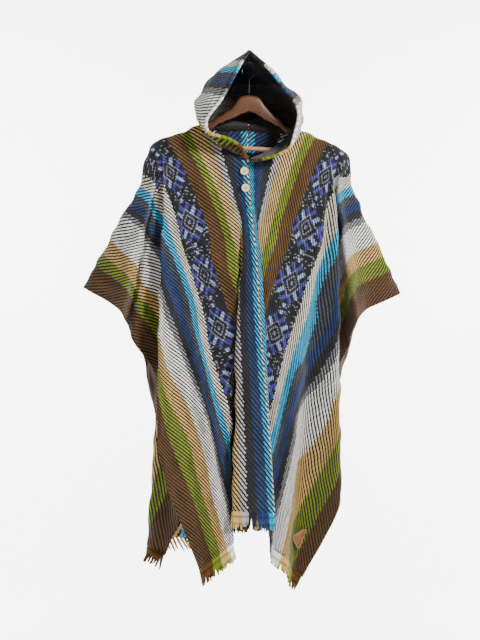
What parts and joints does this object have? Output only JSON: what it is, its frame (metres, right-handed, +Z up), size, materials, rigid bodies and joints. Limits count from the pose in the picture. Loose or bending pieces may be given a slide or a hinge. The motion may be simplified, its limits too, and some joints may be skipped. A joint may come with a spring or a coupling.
{
  "type": "hooded poncho on hanger",
  "caption": "Hooded blanket poncho of striped cloth with fringed hems, coat buttons and a geometric band, hung on a wooden coat hanger.",
  "frame": {"origin": "inner top of the hanger's hook, where the hanger rests on a rail or peg", "axes": "+Z up, -Y towards the front of the poncho, +X towards the viewer's right when the front is seen"},
  "size_m": [0.795, 0.2643, 1.3316],
  "materials": {
    "striped_cloth": "matt twill of thick wool with stripes and a geometric band",
    "fringe_yarn": "matt wool yarn",
    "button": "smooth ivory",
    "leather": "plain tan leather",
    "hanger_wood": "varnished reddish brown",
    "bar_wood": "plain light wood",
    "hook_metal": "bright wire"
  },
  "bodies": {
    "root": {"left_panel": "striped_cloth", "right_panel": "striped_cloth", "hood_left": "striped_cloth", "hood_right": "striped_cloth", "left_front_fringe": "fringe_yarn", "left_back_fringe": "fringe_yarn", "right_front_fringe": "fringe_yarn", "right_back_fringe": "fringe_yarn", "button_upper": "button", "button_lower": "button", "leather_label": "leather", "hanger_body": "hanger_wood", "hanger_bar": "bar_wood", "hanger_hook": "hook_metal"}
  },
  "joints": []
}
